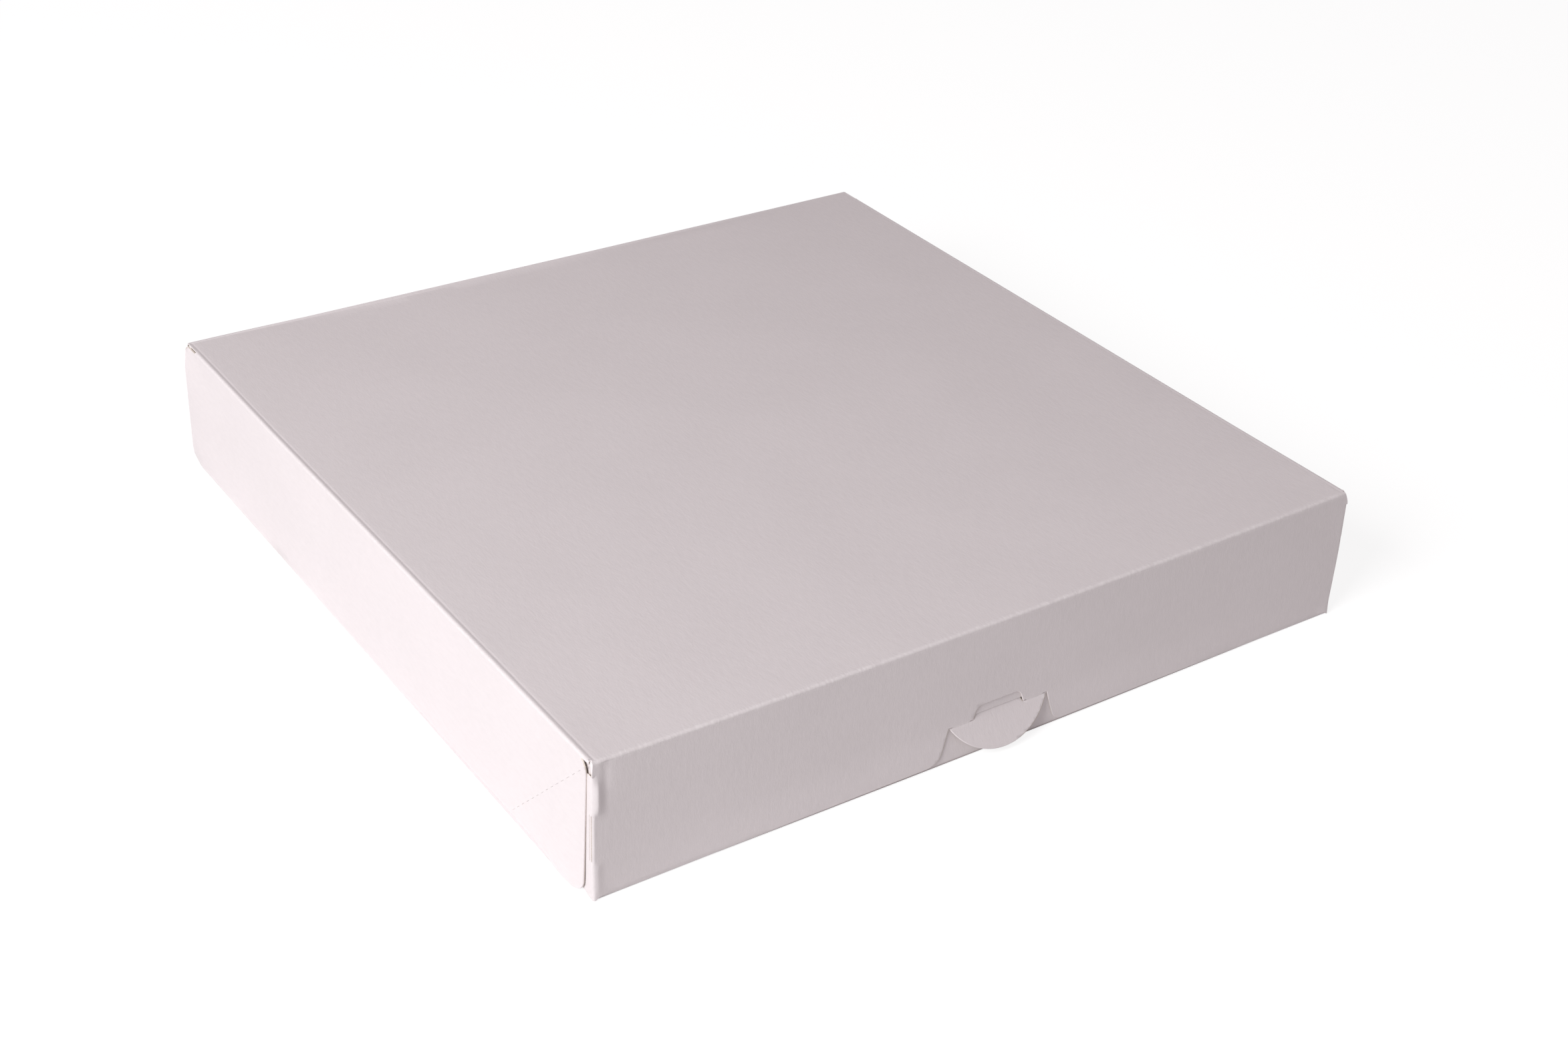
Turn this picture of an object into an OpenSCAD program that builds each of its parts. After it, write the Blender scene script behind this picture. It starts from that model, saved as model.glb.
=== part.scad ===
// Cake box of folded white board: a glued tray with a hinged lid that slips over it.
// A half-round tab in the lid's front rocks on its hinge line, and its tongue locks in the tray.
// The origin is the middle of the base's underside, with +X right, +Y back and +Z up.
// The front of the box faces -Y, and the lid hinges on the top edge of the back wall.

/* [Box] */
// Outside width of the closed box, left to right
box_w = 300; // [240:1:400]
// Outside depth of the closed box, front to back
box_d = 300; // [240:1:400]
// Outside height of the closed box
box_h = 50; // [46:1:80]

/* [Board] */
// Thickness of the board
board_t = 0.45; // [0.35:0.05:0.6]
// Outside radius of a creased fold
fold_r = 0.9; // [0.8:0.1:1.4]
// Space between the lid's glue tabs and the tray's side walls
wall_gap = 0.3; // [0.2:0.05:1]
// Space between the lid's front panel and the tray's front wall
front_gap = 0.2; // [0.15:0.05:0.3]
// Space between the lid's top panel and the tops of the tray's walls
top_gap = 1.6; // [0.3:0.1:3]
// Height of the lid's lower edges above the ground
rim_lift = 0.3; // [0.2:0.05:1]
// Width of a cut between two edges of board
cut_gap = 0.1; // [0.1:0.02:0.2]

/* [Lid flaps] */
// Distance from the front of the box to a side flap's front edge, at the top fold
flap_front_top = 2.2; // [1.6:0.1:4]
// Distance from the front of the box to a side flap's front edge, at its foot
flap_front_foot = 3.4; // [2:0.1:5]
// Distance from the back of the box to a side flap's rear edge
flap_back = 0.5; // [0.3:0.1:2]
// Radius of a side flap's lower corners
flap_corner_r = 5; // [2:0.5:10]
// Length of the cut along a side flap's fold, from the back
relief_len = 9; // [5:0.5:14]
// Size of the corners cut off at the lid's back
back_chamfer = 1.6; // [0.8:0.1:3]

/* [Corner folds] */
// Width of a glue tab
glue_tab_w = 22; // [16:1:30]
// Rise of a glue tab's outer edge towards its free end
glue_tab_rise = 5; // [2:0.5:8]
// Length of the cut down from the top of each lid corner's fold
corner_cut = 5.3; // [4:0.1:8]
// Height of the lower end of the slot in each lid corner's fold
slot_low = 14.5; // [10:0.5:18]
// Height of the upper end of the slot in each lid corner's fold
slot_high = 31; // [24:0.5:36]
// Width of the slot in each lid corner's fold
slot_w = 0.4; // [0.3:0.05:0.6]
// Distance from the tray's front or back to the end edges of its side walls
wall_end = 1.6; // [1.5:0.1:3]
// Height at which the tray's upright corner folds start
corner_foot = 2; // [1.5:0.1:4]

/* [Diagonal perforations] */
// Distance from one dash of a diagonal perforation to the next
dash_pitch = 4.4; // [3.6:0.1:6]
// Length of one dash
dash_len = 2; // [1.2:0.1:2.6]
// Width of one dash
dash_w = 0.35; // [0.25:0.05:0.5]
// Distance from a diagonal perforation to the edge of the glue tab beside it
dash_margin = 1.5; // [1:0.1:3]

/* [Lock] */
// Height of the lock tab's hinge line
lock_z = 13.3; // [13:0.1:16]
// Width of the half-round tab at its hinge line
tab_w = 40; // [32:0.5:48]
// Depth of the half-round tab below its hinge line
tab_drop = 12.3; // [10:0.1:12.6]
// Angle by which the tab leans out of the front panel
tab_tilt = 22.6; // [20:0.1:30]
// Width of the tab's tongue at the hinge line
tongue_w = 20; // [16:0.5:24]
// Height of the tongue above the hinge line
tongue_h = 4.8; // [4:0.1:6]
// Inward lean of the tongue's sides
tongue_lean = 19; // [10:1:25]
// Radius of the tongue's corners
tongue_r = 3; // [2:0.1:3.4]
// Outward lean of the sides of the cutout below the hinge line
cutout_lean = 17.7; // [10:0.1:22]
// Radius of the cutout's lower corners
cutout_r = 6; // [3:0.5:8]
// Extra width of the tray's slit past each end of the tongue
slit_end = 0.4; // [0.2:0.1:1]

/* [Hidden] */
$fn = 64;
// Small length by which a cutting shape passes the surface that it cuts
over = 0.5;
// Number of straight steps in a rounded corner of an outline
arc_steps = 10;
half_t = board_t / 2;
half_w = box_w / 2;
half_d = box_d / 2;

// Lid: the front panel folds into glue tabs that lie inside the side flaps
panel_x = half_w - board_t;
panel_in_y = -half_d + board_t;
lid_in_z = box_h - board_t;
fold_z = box_h - fold_r;
fold_x = half_w - fold_r;
fold_y = -half_d + fold_r;
corner_top = box_h - corner_cut;
flap_y = -half_d + flap_front_top;
relief_y = half_d - relief_len;
hinge_y = half_d - half_t;
hinge_z = box_h - half_t;

// Tray: outer faces of its walls
tray_x = half_w - 2 * board_t - wall_gap;
tray_front = panel_in_y + front_gap;
tray_back = half_d;
wall_top = lid_in_z - top_gap;
back_top = lid_in_z - cut_gap;
tray_panel_x = tray_x - board_t;

// Lock: the hinge line runs in the middle of the front panel's thickness
lock_y = -half_d + half_t;
shoulder_z = lock_z + half_t + cut_gap;
tab_r = (pow(tab_w / 2, 2) + pow(tab_drop, 2)) / (2 * tab_drop);

// Points along an arc from angle a to angle b
function arc(cx, cy, r, a, b) =
    [for (i = [0:arc_steps]) let (t = a + (b - a) * i / arc_steps) [cx + r * cos(t), cy + r * sin(t)]];

// Outline of the tongue, with its hinge line at height 0, made larger all round by grow
function tongue_outline(grow) =
    let (
        r = tongue_r + grow,
        cy = tongue_h + grow - r,
        cx = tongue_w / 2 + grow - cy * tan(tongue_lean) - r / cos(tongue_lean)
    )
    concat(
        [[-tongue_w / 2 - grow, 0], [tongue_w / 2 + grow, 0]],
        arc(cx, cy, r, tongue_lean, 90),
        arc(-cx, cy, r, 90, 180 - tongue_lean)
    );

// Height of the tongue's upper face, with the cut's width, where it crosses the plane at y
function lip_z(y) = lock_z + (y - lock_y) / tan(tab_tilt) + (half_t + cut_gap) / sin(tab_tilt);

module both_sides() {
    children();
    mirror([1, 0, 0]) children();
}

// A flat outline of points (y, z), thickened along X from x0 to x1
module plate_x(points, x0, x1) {
    translate([x0, 0, 0]) rotate([90, 0, 90]) linear_extrude(x1 - x0) polygon(points);
}

// Flat children drawn in (x, z), thickened along Y from y0 to y1
module plate_y(y0, y1) {
    translate([0, y1, 0]) rotate([90, 0, 0]) linear_extrude(y1 - y0) children();
}

// A flat outline of points (x, y), thickened along Z from z0 to z1
module plate_z(points, z0, z1) {
    translate([0, 0, z0]) linear_extrude(z1 - z0) polygon(points);
}

// Section of a fold: a quarter ring in the quadrant that the signs sx and sy name
module fold_section(sx, sy) {
    difference() {
        intersection() {
            circle(r = fold_r);
            translate([min(sx, 0) * fold_r, min(sy, 0) * fold_r]) square(fold_r);
        }
        circle(r = fold_r - board_t);
    }
}

// Folds along each axis, with the section's centre at the two places given
module fold_along_x(x0, x1, y, z, sy, sz) {
    translate([x0, y, z]) rotate([90, 0, 90]) linear_extrude(x1 - x0) fold_section(sy, sz);
}

module fold_along_y(y0, y1, x, z, sx, sz) {
    translate([x, y1, z]) rotate([90, 0, 0]) linear_extrude(y1 - y0) fold_section(sx, sz);
}

module fold_along_z(z0, z1, x, y, sx, sy) {
    translate([x, y, z0]) linear_extrude(z1 - z0) fold_section(sx, sy);
}

// Dashes cut through a side wall along a diagonal that leaves the corner (y, z)
// towards the signs sy and sz and runs over the given height
module diagonal_dashes(y, z, sy, sz, height, x) {
    count = floor((height * sqrt(2) - dash_len) / dash_pitch);
    start = (height * sqrt(2) - (count - 1) * dash_pitch) / 2;
    for (i = [0:count - 1])
        translate([x, y + sy * (start + i * dash_pitch) / sqrt(2), z + sz * (start + i * dash_pitch) / sqrt(2)])
            rotate([sy * sz * 45, 0, 0])
                cube([2 * board_t, dash_len, dash_w], center = true);
}

// Lid

function flap_outline() =
    let (
        foot_y = -half_d + flap_front_foot,
        rear_y = half_d - flap_back,
        r = flap_corner_r,
        free_z = lid_in_z - cut_gap
    )
    concat(
        [[flap_y, fold_z]],
        arc(foot_y + r, rim_lift + r, r, 180, 270),
        arc(rear_y - r, rim_lift + r, r, 270, 360),
        [[rear_y, free_z - back_chamfer], [rear_y - back_chamfer, free_z]],
        [[relief_y, free_z], [relief_y, fold_z]]
    );

function top_outline() =
    let (
        edge_x = panel_x - cut_gap,
        right = [
            [panel_x, fold_y], [panel_x, flap_y], [fold_x, flap_y], [fold_x, relief_y],
            [edge_x, relief_y], [edge_x, hinge_y - back_chamfer], [edge_x - back_chamfer, hinge_y]
        ],
        left = [for (i = [len(right) - 1:-1:0]) [-right[i][0], right[i][1]]]
    )
    concat(right, left);

function lid_glue_tab_outline() =
    let (
        end_y = -half_d + glue_tab_w,
        diagonal = -half_d + box_h - dash_margin * sqrt(2)
    )
    [
        [fold_y, rim_lift], [end_y, rim_lift + glue_tab_rise], [end_y, diagonal - end_y],
        [diagonal - corner_top, corner_top], [fold_y, corner_top]
    ];

// Opening in the front panel in which the lock tab rocks
module lock_cutout() {
    side = tab_w / 2 + cut_gap;
    foot_x = side + (lock_z - rim_lift) * tan(cutout_lean);
    cx = foot_x - cutout_r * tan(cutout_lean) + cutout_r / cos(cutout_lean);
    cz = rim_lift + cutout_r;
    polygon([
        [-foot_x, rim_lift], [-foot_x, rim_lift - over], [foot_x, rim_lift - over], [foot_x, rim_lift],
        [side, lock_z], [side, shoulder_z], [-side, shoulder_z], [-side, lock_z]
    ]);
    translate([0, lock_z]) polygon(tongue_outline(cut_gap));
    both_sides() difference() {
        polygon([
            [foot_x, rim_lift - over], [cx, rim_lift - over], [cx, cz],
            [cx - cutout_r * cos(cutout_lean), cz - cutout_r * sin(cutout_lean)], [foot_x, rim_lift]
        ]);
        translate([cx, cz]) circle(r = cutout_r);
    }
}

module front_panel() {
    low_x = panel_x - fold_r;
    plate_y(-half_d, panel_in_y) difference() {
        polygon([
            [-low_x, rim_lift], [low_x, rim_lift], [low_x, corner_top], [panel_x, corner_top],
            [panel_x, fold_z], [-panel_x, fold_z], [-panel_x, corner_top], [-low_x, corner_top]
        ]);
        lock_cutout();
    }
}

module lid_corner() {
    x = panel_x - fold_r;
    difference() {
        fold_along_z(rim_lift, corner_top, x, fold_y, 1, -1);
        translate([x, fold_y, slot_low]) rotate([0, 0, -45])
            translate([0, -slot_w / 2, 0]) cube([2 * fold_r, slot_w, slot_high - slot_low]);
    }
    plate_x(lid_glue_tab_outline(), panel_x - board_t, panel_x);
}

module lid_side() {
    fold_along_y(flap_y, relief_y, fold_x, fold_z, 1, 1);
    difference() {
        plate_x(flap_outline(), panel_x, half_w);
        diagonal_dashes(-half_d, box_h, 1, -1, box_h, half_w - half_t);
    }
}

module lid() {
    color("whitesmoke") {
        plate_z(top_outline(), lid_in_z, box_h);
        fold_along_x(-panel_x, panel_x, fold_y, fold_z, -1, 1);
        front_panel();
        both_sides() {
            lid_side();
            lid_corner();
        }
        hinge_x = panel_x - cut_gap - back_chamfer;
        translate([-hinge_x, hinge_y, hinge_z]) rotate([0, 90, 0]) cylinder(r = half_t, h = 2 * hinge_x);
    }
}

// Tray

function base_outline() =
    let (
        wide = tray_x - fold_r,
        slim = tray_panel_x - fold_r,
        right = [
            [slim, tray_front + fold_r], [slim, tray_front + wall_end], [wide, tray_front + wall_end],
            [wide, tray_back - wall_end], [slim, tray_back - wall_end], [slim, tray_back - fold_r]
        ],
        left = [for (i = [len(right) - 1:-1:0]) [-right[i][0], right[i][1]]]
    )
    concat(right, left);

// Glue tab at the corner of the wall whose outer face is at y, on the side that sy points to
module tray_glue_tab(y, sy, top) {
    near = y + sy * fold_r;
    far = y + sy * glue_tab_w;
    margin = dash_margin * sqrt(2);
    plate_x(
        [
            [near, fold_r + margin], [far, glue_tab_w + margin],
            [far, wall_top - glue_tab_rise], [near, top]
        ],
        tray_panel_x - board_t, tray_panel_x
    );
}

module tray_corner(y, sy, top) {
    foot = max(corner_foot, fold_r);
    fold_along_z(foot, top, tray_panel_x - fold_r, y + sy * fold_r, 1, -sy);
    tray_glue_tab(y, sy, top);
}

module tray_side_wall() {
    y0 = tray_front + wall_end;
    y1 = tray_back - wall_end;
    fold_along_y(y0, y1, tray_x - fold_r, fold_r, 1, -1);
    difference() {
        plate_x([[y0, fold_r], [y1, fold_r], [y1, wall_top], [y0, wall_top]], tray_x - board_t, tray_x);
        diagonal_dashes(tray_front, 0, 1, 1, wall_top, tray_x - half_t);
        diagonal_dashes(tray_back, 0, -1, 1, wall_top, tray_x - half_t);
    }
}

// Slit in the tray's front wall, sloped along its top to follow the tongue
module tongue_slit() {
    end_x = tongue_w / 2 + slit_end;
    low = lock_z - half_t - 2 * cut_gap;
    y0 = tray_front - over;
    y1 = tray_front + board_t + over;
    plate_x([[y0, low], [y1, low], [y1, lip_z(y1)], [y0, lip_z(y0)]], -end_x, end_x);
}

module tray() {
    slim = tray_panel_x - fold_r;
    color("ghostwhite") {
        plate_z(base_outline(), 0, board_t);
        fold_along_x(-slim, slim, tray_front + fold_r, fold_r, -1, -1);
        fold_along_x(-slim, slim, tray_back - fold_r, fold_r, 1, -1);
        difference() {
            plate_y(tray_front, tray_front + board_t)
                polygon([[-slim, fold_r], [slim, fold_r], [slim, wall_top], [-slim, wall_top]]);
            tongue_slit();
        }
        plate_y(tray_back - board_t, tray_back)
            polygon([[-slim, fold_r], [slim, fold_r], [slim, back_top], [-slim, back_top]]);
        both_sides() {
            tray_side_wall();
            tray_corner(tray_front, 1, wall_top);
            tray_corner(tray_back, -1, wall_top);
        }
    }
}

// Lock tab: a half-round tab and its tongue, one flat piece that rocks about the hinge line

module lock_tab() {
    color("white") translate([0, lock_y, lock_z]) rotate([-tab_tilt, 0, 0]) {
        plate_y(-half_t, half_t) {
            intersection() {
                translate([0, tab_r - tab_drop]) circle(r = tab_r);
                translate([-tab_w / 2, -tab_drop]) square([tab_w, tab_drop]);
            }
            polygon(tongue_outline(0));
        }
        translate([-tab_w / 2, 0, 0]) rotate([0, 90, 0]) cylinder(r = half_t, h = tab_w);
    }
}

tray();
lid();
lock_tab();
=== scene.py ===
# Cake box of folded white board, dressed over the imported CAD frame.
# Every piece is cut as a flat blank and then folded in code. Lengths are in millimetres
# until a mesh is written, which is in metres like the frame.

import math

import bpy
import numpy as np
from mathutils import Matrix, Vector, noise
from mathutils.geometry import delaunay_2d_cdt


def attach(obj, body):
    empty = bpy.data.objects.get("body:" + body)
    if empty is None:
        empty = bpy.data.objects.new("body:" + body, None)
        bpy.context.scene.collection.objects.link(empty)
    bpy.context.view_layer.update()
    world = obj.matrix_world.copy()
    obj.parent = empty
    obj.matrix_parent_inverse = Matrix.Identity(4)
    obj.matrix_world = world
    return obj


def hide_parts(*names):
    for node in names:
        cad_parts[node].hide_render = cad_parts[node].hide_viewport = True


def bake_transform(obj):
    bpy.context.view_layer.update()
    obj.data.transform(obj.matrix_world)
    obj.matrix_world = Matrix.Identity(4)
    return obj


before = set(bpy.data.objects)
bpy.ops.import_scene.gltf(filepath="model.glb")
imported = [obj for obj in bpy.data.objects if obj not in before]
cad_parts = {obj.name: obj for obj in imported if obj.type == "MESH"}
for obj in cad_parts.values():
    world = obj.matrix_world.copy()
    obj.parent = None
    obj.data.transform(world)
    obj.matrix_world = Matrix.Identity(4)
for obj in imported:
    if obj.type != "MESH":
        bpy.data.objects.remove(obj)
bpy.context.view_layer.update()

MM = 0.001
CRUSH = 0.28              # how far a cut crushes the board's outer face back
CRUSH_BACK = 0.2          # share of it on the inner face
CRUSH_FINE = 0.07         # the same as CRUSH, at a hole
CRUSH_AWAY = 0.6          # how much more it is at an edge that looks away from the camera
AWAY = 0.25               # how far to the right an edge looks before it counts as one; its outer chamfer then takes the cut edge's brown as painted shade
RIM_CLEAR = 0.5           # least distance of an inner point from the blank's edge
RIM_STEP = 0.06           # least distance between two points that split an edge
SLIVER = 0.004            # height of a triangle that is dropped at the rim
SHARP_ANGLE = math.radians(38)
FAR = 99.0                # stands for a place that isn't near any fold

# Box and board, as in the CAD source
HALF_W = 150.0
HALF_D = 150.0
BOX_H = 50.0
BOARD = 0.45
HALF_T = BOARD / 2
FOLD_R = 0.9
FOLD_MID = FOLD_R - HALF_T
ARC = FOLD_MID * math.pi / 2
RIM_LIFT = 0.3
GLUE_TAB_W = 22.0
GLUE_TAB_RISE = 5.0
DASH_MARGIN = 1.5 * math.sqrt(2)

# Lid
LID_FOLD = 149.1          # distance from the middle to the lid's top folds
LID_FOLD_Z = 49.1         # height at which a folded wall starts
LID_CORNER = 148.65       # distance from the middle to the upright corner folds
LID_PANEL_X = 149.55
CORNER_TOP = 44.7         # height at which the corner folds end, below the torn hole
FLAP_REAR = 149.5
FLAP_FOOT_Y = -146.0      # where a side flap's front edge meets its foot
FLAP_R = 5.0              # radius of its lower corners
RELIEF_Y = 141.0          # where the cut along its fold ends
LID_REAR = 148.6          # where the lid's sheet meets the crease strip

# Tray
TRAY_FOLD_X = 147.9
TRAY_FRONT_MID = 0.35     # its front fold is sharper
TRAY_FOLD_FRONT = 149.125 - TRAY_FRONT_MID
TRAY_FOLD_BACK = 149.1
TRAY_FOLD_Z = 0.9
TRAY_CORNER = 147.45
TRAY_FRONT_Y = -149.35    # outside of its front wall
TRAY_END_FRONT = -147.75
TRAY_END_BACK = 148.4
WALL_TOP = 47.95
TAB_TOP = WALL_TOP - GLUE_TAB_RISE
BACK_TOP = 48.6           # where the tray's back wall meets the crease strip
CORNER_FOOT = 2.0         # height at which the tray's corner folds start

# Lock
LOCK_Z = 13.3
LOCK_Y = -HALF_D + HALF_T
TAB_HALF = 19.8
TAB_DROP = 11.9
TAB_HINGE = (11.6, 18.5)  # the stretch of the tab's top edge, on either side, that isn't cut
TAB_TILT = math.radians(22.6)
TONGUE_HALF = 10.0
TONGUE_H = 4.8
TONGUE_LEAN = math.radians(19)
TONGUE_R = 3.0
TAB_GAP = 0.1             # width of the cut round the tongue and the tab
CUT_LEFT = (math.radians(17.7), 6.0)   # lean of the cut's left leg and radius of its foot
CUT_RIGHT = (math.radians(14.5), 4.5)
SHOULDER_Z = 13.42        # height of the cut beside the tongue
HINGE_Z = LOCK_Z + 0.04   # and of the panel's edge where the tab isn't cut free
SLIT_HALF = 10.15
SLIT_LOW = 12.95
SLIT_HIGH = 14.95
SLIT_SLOPE = 1.08         # rise of the slit's upper lip through the wall

# Dashes of the diagonal perforations, and the two slots beside the lid's corner folds
DASH_PITCH = 4.4
DASH_LEN = 2.0
DASH_W = 0.03
SLOT_OFFSETS = (0.85, 1.7)
SLOT_LOW = 14.5
SLOT_HIGH = 31.0
SLOT_W = 0.05

# How the folded board settles
LEAN_LEFT = 0.1           # sideways shift of the box's front foot at either corner
LEAN_RIGHT = 1.3
TAB_MORE = 0.045          # how much further the tab stands out than its solid, per length
FRONT_BULGE = 1.05        # outward bow of the front's foot
EDGE_SAG = 1.0            # sag of the front top edge at its middle
CORNER_LIFT = 0.5         # rise of the lid's corners over the CAD top
FOOT_RISE = 0.95          # how far the front's lower edge stands over the CAD edge
FOOT_DROP = 0.25          # and how far it hangs below it at the corners
REAR_LIFT = 0.8           # further rise of the rear left corner
CORNER_SPRING = 1.9       # how far the front right corner fold springs out below the top


# Flat shapes

def arc(cx, cy, r, a, b, steps=10):
    """Points along an arc from angle a to angle b, in degrees"""
    turns = np.radians(np.linspace(a, b, steps + 1))
    return [(cx + r * math.cos(t), cy + r * math.sin(t)) for t in turns]


def mirrored(points):
    """The same path on the other side, walked the other way"""
    return [(-x, y) for x, y in reversed(points)]


def spaced(*runs):
    """Grid lines from runs of (start, end, step)"""
    parts = [np.linspace(a, b, max(2, round(abs(b - a) / step) + 1)) for a, b, step in runs]
    return np.unique(np.round(np.concatenate(parts), 4))


def both_ways(values):
    """Grid lines on both sides of the middle"""
    return np.unique(np.concatenate([-values, values]))


def inside(points, loops):
    """True for each point that an odd number of loop edges lies to the right of"""
    found = np.zeros(len(points), bool)
    x, y = points[:, 0], points[:, 1]
    for loop in loops:
        ends = np.array(loop)
        starts = np.roll(ends, 1, axis=0)
        for (ax, ay), (bx, by) in zip(starts, ends):
            if ay == by:
                continue
            rows = np.nonzero((y > min(ay, by)) & (y <= max(ay, by)))[0]
            cross = ax + (y[rows] - ay) * (bx - ax) / (by - ay)
            hit = rows[cross > x[rows]]
            found[hit] = ~found[hit]
    return found


def triangulate(loops, patches):
    """Triangles of a flat blank. Patches are grids of inner points: (p lines, q lines)."""
    split = [split_loop(loop, patches) for loop in loops]
    rim = np.concatenate([np.array(loop) for loop in split])
    grid = np.concatenate([
        np.stack(np.meshgrid(ps, qs, indexing="ij"), -1).reshape(-1, 2) for ps, qs in patches
    ])
    grid = np.unique(np.round(grid, 4), axis=0)
    grid = grid[inside(grid, split)]
    grid = grid[away_from(grid, rim, RIM_CLEAR)]
    points = np.concatenate([rim, grid])
    edges, base = [], 0
    for loop in split:
        count = len(loop)
        edges += [(base + i, base + (i + 1) % count) for i in range(count)]
        base += count
    found = delaunay_2d_cdt([Vector(p) for p in points], edges, [], 0, 1e-6, True)
    flat = np.array([tuple(v) for v in found[0]])
    first, last = len(split[0]), len(rim)
    on_hole = np.array([any(first <= i < last for i in origin) for origin in found[3]])
    on_rim = np.array([any(i < last for i in origin) for origin in found[3]])
    tris = np.array([f for f in found[2] if len(f) == 3])
    tris = tris[inside(flat[tris].mean(axis=1), split)]
    a, b, c = (flat[tris[:, i]] for i in range(3))
    turn = (b - a)[:, 0] * (c - a)[:, 1] - (b - a)[:, 1] * (c - a)[:, 0]
    tris[turn < 0] = tris[turn < 0][:, ::-1]
    longest = np.max([np.linalg.norm(v, axis=1) for v in (b - a, c - b, a - c)], axis=0)
    sliver = (abs(turn) < SLIVER * longest) & on_rim[tris].all(axis=1)
    return flat, tris[~sliver], on_hole


def split_loop(loop, patches):
    """A loop with a point wherever an edge crosses a line of a patch that it touches"""
    out = []
    for a, b in zip(np.array(loop), np.array(loop[1:] + loop[:1])):
        low, high = np.minimum(a, b) - 0.01, np.maximum(a, b) + 0.01
        cuts = [0.0]
        for lines in patches:
            if any(np.min(axis) > high[i] or np.max(axis) < low[i] for i, axis in enumerate(lines)):
                continue
            for i, axis in enumerate(lines):
                if abs(b[i] - a[i]) > 1e-9:
                    t = (axis - a[i]) / (b[i] - a[i])
                    cuts += list(t[(t > 0) & (t < 1)])
        length = np.linalg.norm(b - a)
        last = -1.0
        for t in sorted(cuts):
            if t == 0 or min(t - last, 1 - t) * length > RIM_STEP:
                out.append(tuple(a + (b - a) * t))
                last = t
    return out


def away_from(points, others, gap):
    """True for each point that no other point lies within the gap of"""
    cells = {}
    for x, y in others:
        cells.setdefault((int(x // gap), int(y // gap)), []).append((x, y))
    keep = np.ones(len(points), bool)
    for i, (x, y) in enumerate(points):
        cx, cy = int(x // gap), int(y // gap)
        for dx in (-1, 0, 1):
            for dy in (-1, 0, 1):
                for ox, oy in cells.get((cx + dx, cy + dy), ()):
                    if (ox - x) ** 2 + (oy - y) ** 2 < gap * gap:
                        keep[i] = False
    return keep


# Folding

def bend(run, start, offset):
    """Fold of a strip: where a point lies, out and down, once it is run past the fold line"""
    turn = np.clip((run - start) / FOLD_MID, 0, math.pi / 2)
    past = np.maximum(run - start - ARC, 0)
    flat = np.minimum(run, start)
    out = flat + (FOLD_MID + offset) * np.sin(turn)
    down = FOLD_MID - (FOLD_MID + offset) * np.cos(turn) + past
    return out, down


def fold_lid(p, q, n):
    """Rest place of the lid's blank at (p, q), at offset n outside the board's middle"""
    side = np.sign(p)
    run = np.abs(p)
    front = q < -LID_FOLD
    top_mid = BOX_H - HALF_T
    # Top panel and side flaps
    out, down = bend(run, LID_FOLD, n)
    cut = np.clip((q - RELIEF_Y + 1) / 2, 0, 1)
    free_flap = run > LID_FOLD + ARC / 2
    cut_out = np.where(free_flap, HALF_W - HALF_T + n, run)
    cut_down = np.where(free_flap, run - LID_FOLD - ARC + FOLD_MID, -n)
    out = out + (cut_out - out) * cut
    down = down + (cut_down - down) * cut
    early = (q < -148.0) & (run < 149.8) & ~front
    out = np.where(early & (run > LID_FOLD), run, out)
    down = np.where(early, -n, down)
    x, y, z = side * out, q, top_mid - down
    # Front panel and its glue tabs
    level = LID_FOLD_Z - (-q - LID_FOLD - ARC)
    ear = level > CORNER_TOP + 0.06
    tab_out, tab_down = bend(run, LID_CORNER, n)
    tab_out = np.where(ear, run, tab_out)
    tab_down = np.where(ear, -n, tab_down)
    offset = -tab_down
    turn = np.clip((-q - LID_FOLD) / FOLD_MID, 0, math.pi / 2)
    past = np.maximum(-q - LID_FOLD - ARC, 0)
    front_y = -(LID_FOLD + (FOLD_MID + offset) * np.sin(turn))
    front_z = LID_FOLD_Z + (FOLD_MID + offset) * np.cos(turn) - past
    x = np.where(front, side * tab_out, x)
    y = np.where(front, front_y, y)
    z = np.where(front, front_z, z)
    return np.stack([x, y, z], -1)


def fold_tray(p, q, n):
    """Rest place of the tray's blank: its outside faces down under the base"""
    side = np.sign(p)
    run = np.abs(p)
    out, up = bend(run, TRAY_FOLD_X, n)
    x, y, z = side * out, q, HALF_T + up
    for sign, fold, mid in ((-1, TRAY_FOLD_FRONT, TRAY_FRONT_MID), (1, TRAY_FOLD_BACK, FOLD_MID)):
        end = sign * q > fold
        tab_out, tab_in = bend(run, TRAY_CORNER, n)
        turn = np.clip((sign * q - fold) / mid, 0, math.pi / 2)
        past = np.maximum(sign * q - fold - mid * math.pi / 2, 0)
        end_y = sign * (fold + (mid - tab_in) * np.sin(turn))
        end_z = mid + HALF_T - (mid - tab_in) * np.cos(turn) + past
        x = np.where(end, side * tab_out, x)
        y = np.where(end, end_y, y)
        z = np.where(end, end_z, z)
    return np.stack([x, y, z], -1)


def lid_front(x, z):
    """Place on the blank of a point of the lid's front panel"""
    return (x, -(LID_FOLD + ARC + LID_FOLD_Z - z))


def lid_side(y, z):
    """The same for the right side flap"""
    return (LID_FOLD + ARC + LID_FOLD_Z - z, y)


def lid_glue(y, z):
    """The same for the right glue tab, behind the flap's front end"""
    return (LID_CORNER + ARC + y + LID_FOLD, -(LID_FOLD + ARC + LID_FOLD_Z - z))


def tray_front(x, z):
    """Place on the blank of a point of the tray's front wall"""
    arc_len = TRAY_FRONT_MID * math.pi / 2
    return (x, -(TRAY_FOLD_FRONT + arc_len + z - TRAY_FRONT_MID - HALF_T))


def tray_back(x, z):
    """The same for its back wall"""
    return (x, TRAY_FOLD_BACK + ARC + z - TRAY_FOLD_Z)


def tray_side(y, z):
    """The same for its right wall"""
    return (TRAY_FOLD_X + ARC + z - TRAY_FOLD_Z, y)


# How the box settles: the same smooth push for every piece, so nothing meets that didn't

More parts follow.
